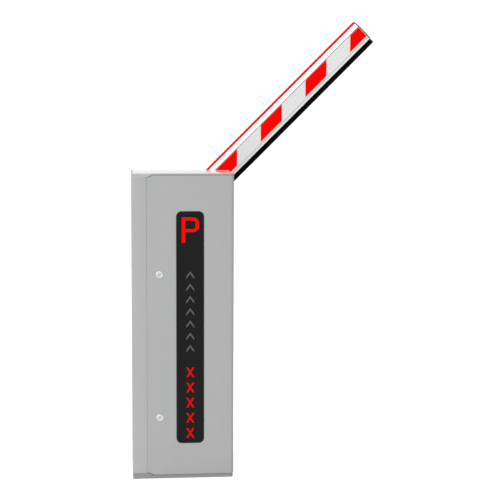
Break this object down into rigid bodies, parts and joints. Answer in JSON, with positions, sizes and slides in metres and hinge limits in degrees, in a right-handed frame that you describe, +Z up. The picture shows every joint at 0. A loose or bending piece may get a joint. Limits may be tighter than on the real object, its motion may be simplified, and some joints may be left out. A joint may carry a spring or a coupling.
{
  "type": "parking barrier gate",
  "caption": "Parking barrier gate: steel cabinet with hinged door and lit display, spring-balanced rocker drive and a rising octagonal boom.",
  "frame": {"origin": "centre of the anchor hole pattern, on the ground under the cabinet", "axes": "+Z up; -Y is the door side; +X is the side the boom reaches to"},
  "size_m": [0.8661, 0.391, 1.5514],
  "materials": {
    "steel_base": "zinc plated, dull",
    "paint_dark": "grey powder coat, in shade under the cabinet",
    "paint_body": "grey powder coat, fine texture",
    "paint_lid": "light gloss coat",
    "paint_door": "grey powder coat, fine texture",
    "steel_screws": "zinc plated",
    "zinc_frame": "zinc plated sheet",
    "steel_pins": "machined, oiled",
    "foam_gasket": "closed cell foam",
    "chrome_lock": "polished",
    "chrome_core": "satin",
    "face_black": "satin black acrylic",
    "light_red": "lit red diffuser",
    "light_grey": "unlit smoked diffuser",
    "abs_black": "moulded, fine texture",
    "board_green": "solder mask",
    "steel_frame": "dark powder coat",
    "cast_housing": "machined faces",
    "bronze_bush": "sintered bronze",
    "steel_shaft": "ground",
    "steel_lever": "blued plate",
    "steel_spring": "oil tempered wire",
    "rubber_buffer": "moulded rubber",
    "alu_cam": "turned",
    "cast_gearbox": "die cast",
    "paint_motor": "black enamel",
    "abs_red": "moulded",
    "abs_green": "moulded",
    "abs_blue": "moulded",
    "abs_white": "moulded",
    "abs_grey": "moulded",
    "abs_parts": "moulded parts",
    "alu_supply": "folded sheet",
    "cable_black": "sheathed cable",
    "steel_hub": "machined",
    "paint_cradle": "dark powder coat",
    "paint_boom": "white coated aluminium",
    "strip_red": "translucent light strip",
    "rubber_edge": "extruded soft edge",
    "film_red": "retroreflective film"
  },
  "bodies": {
    "cabinet": {"base_plate": "steel_base", "plinth": "paint_dark", "cabinet_shell": "paint_body", "top_lid": "paint_lid", "lid_screws": "steel_screws", "door_frame": "zinc_frame", "door_hinge_pins": "steel_pins", "mech_frame": "steel_frame", "frame_brackets": "zinc_frame", "bearing_housings": "cast_housing", "bearing_bushes": "bronze_bush", "guide_rods": "steel_shaft", "balance_springs": "steel_spring", "spring_adjusters": "steel_pins", "buffer_rubbers": "rubber_buffer", "limit_switches": "abs_black", "gearbox_housing": "cast_gearbox", "motor": "paint_motor", "electrics_plate": "zinc_frame", "power_supply": "alu_supply", "breaker": "abs_white", "terminal_blocks": "abs_grey", "control_board": "board_green", "control_parts": "abs_parts", "harness": "cable_black"},
    "boom": {"main_shaft": "steel_shaft", "rocker_lever": "steel_lever", "lever_pins": "steel_pins", "limit_cam": "alu_cam", "boom_hub": "steel_hub", "boom_cradle": "paint_cradle", "boom_clamp_plate": "paint_cradle", "boom_clamp_bolts": "steel_screws", "boom_profile": "paint_boom", "boom_light_strip": "strip_red", "boom_rubber_edge": "rubber_edge", "boom_end_caps": "abs_black", "boom_reflectors": "film_red"},
    "hanger": {"spring_hanger": "steel_lever", "spring_plugs": "steel_pins"},
    "crank": {"crank_arm": "steel_lever", "output_shaft": "steel_shaft"},
    "rod": {"rod_ends": "steel_pins", "rod_link": "steel_pins"},
    "wheel": {"hand_wheel": "abs_red"},
    "door": {"door_panel": "paint_door", "door_gasket": "foam_gasket", "lock_bodies": "chrome_lock", "display_face": "face_black", "sign_p": "light_red", "sign_crosses": "light_red", "sign_chevrons": "light_grey", "display_housing": "abs_black", "display_rear_cover": "abs_black", "display_board": "board_green"},
    "lower_lock": {"lock_core_lower": "chrome_core"},
    "upper_lock": {"lock_core_upper": "chrome_core"},
    "toggle": {"breaker_toggle": "abs_blue"},
    "open_button": {"button_open": "abs_green"},
    "close_button": {"button_close": "abs_red"}
  },
  "joints": [
    {"name": "boom_pivot", "type": "hinge", "parent": "cabinet", "child": "boom", "pos_m": [0, 0, 0.862], "axis": [0, -1, 0], "range_deg": [-45, 45]},
    {"name": "hanger_slide", "type": "slide", "parent": "cabinet", "child": "hanger", "axis": [0, 0, 1], "range_m": [-0.058, 0.058], "deforming": ["balance_springs"]},
    {"name": "crank_turn", "type": "hinge", "parent": "cabinet", "child": "crank", "pos_m": [0, 0, 0.64], "axis": [0, -1, 0], "range_deg": [-46, 46]},
    {"name": "rod_swing", "type": "hinge", "parent": "crank", "child": "rod", "pos_m": [0.07, 0.007, 0.64], "axis": [0, -1, 0], "range_deg": [-46, 46]},
    {"name": "wheel_turn", "type": "hinge", "parent": "cabinet", "child": "wheel", "pos_m": [0.14, 0.094, 0.645], "axis": [1, 0, 0], "range_deg": [-1080, 1080]},
    {"name": "door_hinge", "type": "hinge", "parent": "cabinet", "child": "door", "pos_m": [0.163, -0.141, 0.5], "axis": [0, 0, 1], "range_deg": [0, 100]},
    {"name": "lower_lock_turn", "type": "hinge", "parent": "door", "child": "lower_lock", "pos_m": [-0.0775, -0.15, 0.2095], "axis": [0, -1, 0], "range_deg": [0, 90]},
    {"name": "upper_lock_turn", "type": "hinge", "parent": "door", "child": "upper_lock", "pos_m": [-0.0775, -0.15, 0.6915], "axis": [0, -1, 0], "range_deg": [-90, 0]},
    {"name": "breaker_switch", "type": "hinge", "parent": "cabinet", "child": "toggle", "pos_m": [-0.102, 0.066, 0.419], "axis": [1, 0, 0], "range_deg": [0, 40]},
    {"name": "open_button_press", "type": "slide", "parent": "cabinet", "child": "open_button", "axis": [0, 1, 0], "range_m": [0, 0.001], "stiffness_N_per_m": 300, "springref_m": -0.0005},
    {"name": "close_button_press", "type": "slide", "parent": "cabinet", "child": "close_button", "axis": [0, 1, 0], "range_m": [0, 0.001], "stiffness_N_per_m": 300, "springref_m": -0.0005}
  ],
  "couplings": [
    {"joint": "hanger_slide", "follows": "boom_pivot", "m_per_rad": -0.072},
    {"joint": "crank_turn", "follows": "boom_pivot", "ratio": 1},
    {"joint": "rod_swing", "follows": "boom_pivot", "ratio": -1},
    {"joint": "wheel_turn", "follows": "boom_pivot", "ratio": 24}
  ]
}
